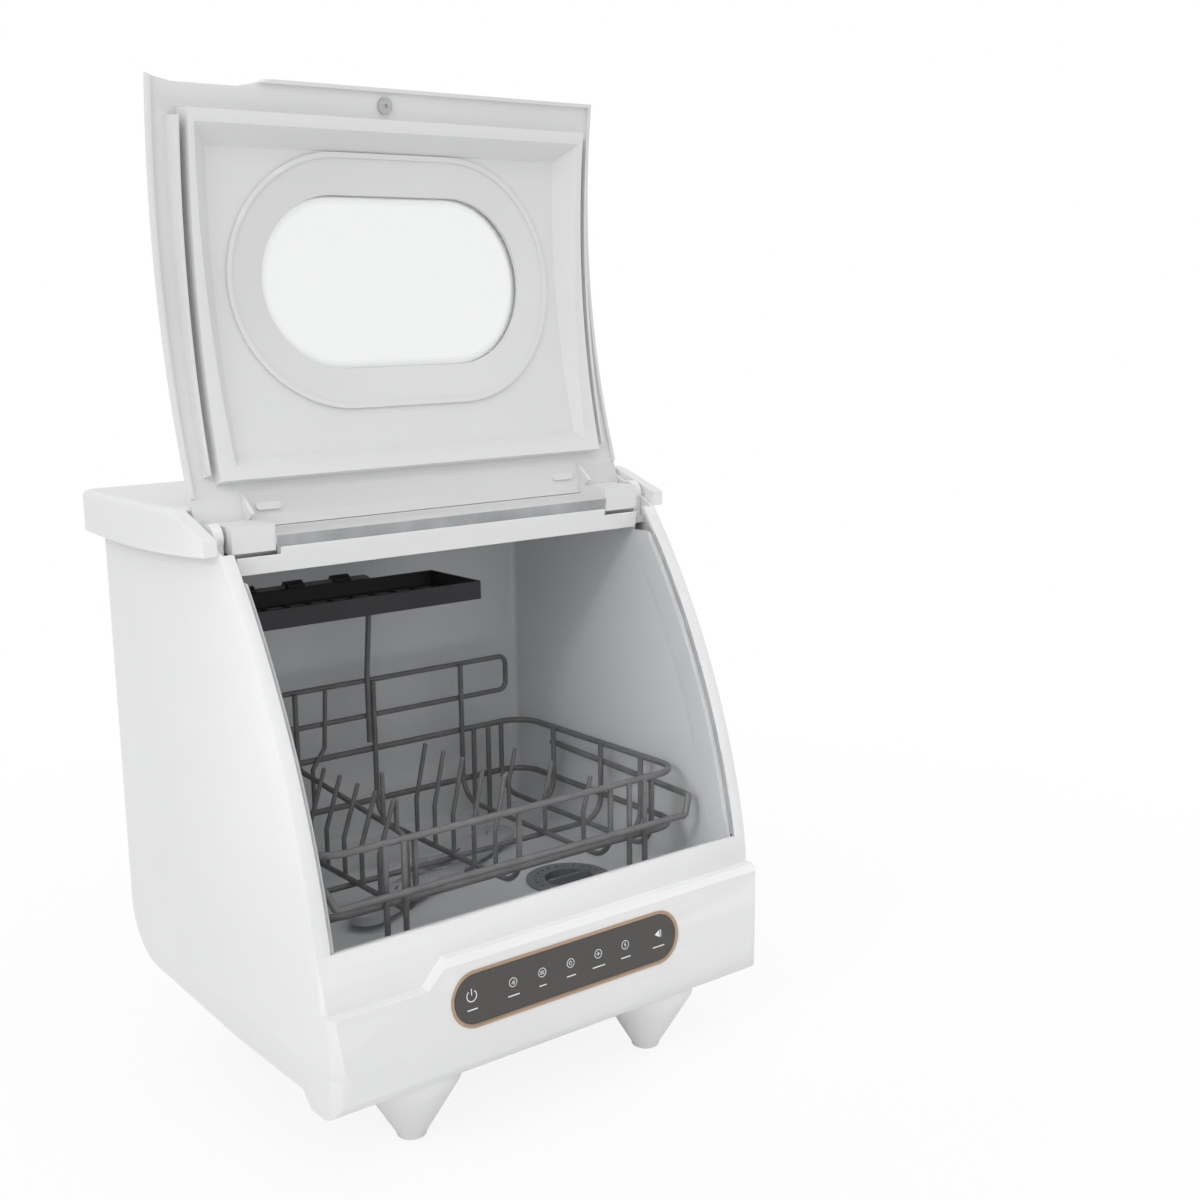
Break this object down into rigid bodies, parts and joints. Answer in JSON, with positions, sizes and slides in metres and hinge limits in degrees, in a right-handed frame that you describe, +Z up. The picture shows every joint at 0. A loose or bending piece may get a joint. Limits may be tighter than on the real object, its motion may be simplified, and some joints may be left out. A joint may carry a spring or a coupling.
{
  "type": "countertop dishwasher",
  "caption": "Compact countertop dishwasher with a curved lift-up lid with an oval window, a wire rack, a small top shelf, touch controls and cone feet.",
  "frame": {"origin": "middle of the bounding box's footprint, on the surface that the feet stand on", "axes": "+Z up, -Y towards the front with the mouth and the controls, +X to the right seen from the front"},
  "size_m": [0.443, 0.3803, 0.8007],
  "materials": {
    "body_white": "satin moulded",
    "lid_white": "satin moulded",
    "tub_white": "smooth moulded",
    "pane_clear": "clear polished",
    "control_glass": "glossy",
    "trim_bronze": "anodised",
    "rack_coat": "dipped coating",
    "shelf_black": "fine grain",
    "arm_grey": "moulded",
    "filter_grey": "moulded",
    "rubber_dark": "matte",
    "rubber_grey": "matte",
    "hose_white": "translucent",
    "steel": "plated",
    "pump_black": "moulded",
    "board_green": "lacquered"
  },
  "bodies": {
    "case": {"left_side_panel": "body_white", "right_side_panel": "body_white", "rear_panel": "body_white", "front_panel": "body_white", "base_tray": "body_white", "top_cover": "body_white", "front_feet": "body_white", "rear_feet": "body_white", "foot_pads": "rubber_dark", "foot_screws": "steel", "header_bar": "body_white", "hinge_brackets": "body_white", "hinge_pins": "steel", "opening_gasket": "rubber_grey", "wash_tub": "tub_white", "control_trim": "trim_bronze", "control_window": "control_glass", "control_board": "board_green", "spray_hub": "arm_grey", "spray_nut": "arm_grey", "sump": "filter_grey", "filter_plate": "filter_grey", "wash_pump": "pump_black", "drain_pump": "pump_black", "sump_hose": "hose_white", "spray_hose": "hose_white", "drain_hose": "hose_white", "drain_port": "filter_grey", "inlet_port": "filter_grey", "inlet_valve": "arm_grey", "inlet_hose": "hose_white", "cord_gland": "rubber_dark", "heating_element": "steel", "power_board": "board_green", "fan_housing": "pump_black", "rear_screws": "steel"},
    "lid": {"lid_shell": "lid_white", "lid_liner": "lid_white", "lid_window": "pane_clear", "window_ring": "lid_white", "lid_magnet": "steel", "lid_bumpers": "lid_white"},
    "rack": {"rack_front": "rack_coat", "rack_back": "rack_coat", "rack_floor": "rack_coat", "rack_sides": "rack_coat", "rack_grip_loop": "rack_coat", "rack_divider": "rack_coat", "shelf_frame": "rack_coat", "left_tines": "rack_coat", "short_tines": "rack_coat", "middle_tines": "rack_coat", "right_tines": "rack_coat", "tall_tines": "rack_coat"},
    "shelf": {"shelf_tray": "shelf_black", "shelf_clips": "shelf_black"},
    "arm": {"spray_arm": "arm_grey"},
    "filter": {"filter_cup": "filter_grey"},
    "pump_rotor": {"pump_impeller": "arm_grey"},
    "fan_rotor": {"fan_impeller": "pump_black"}
  },
  "joints": [
    {"name": "lid_hinge", "type": "hinge", "parent": "case", "child": "lid", "pos_m": [0, -0.0272, 0.4637], "axis": [1, 0, 0], "range_deg": [0, 163.8]},
    {"name": "rack_lift", "type": "slide", "parent": "case", "child": "rack", "axis": [0, 0, 1], "range_m": [0, 0.012]},
    {"name": "shelf_tilt", "type": "hinge", "parent": "rack", "child": "shelf", "pos_m": [-0.074, 0.095, 0.395], "axis": [-1, 0, 0], "range_deg": [0, 15]},
    {"name": "spray_arm_spin", "type": "hinge", "parent": "case", "child": "arm", "pos_m": [0, -0.004, 0.148], "axis": [0, 0, 1], "continuous": true},
    {"name": "filter_turn", "type": "hinge", "parent": "case", "child": "filter", "pos_m": [0.095, -0.07, 0.136], "axis": [0, 0, 1], "range_deg": [0, 60]},
    {"name": "pump_spin", "type": "hinge", "parent": "case", "child": "pump_rotor", "pos_m": [0.075, 0.06, 0.106], "axis": [1, 0, 0], "continuous": true},
    {"name": "fan_spin", "type": "hinge", "parent": "case", "child": "fan_rotor", "pos_m": [-0.105, 0.085, 0.45], "axis": [0, 0, 1], "continuous": true}
  ]
}
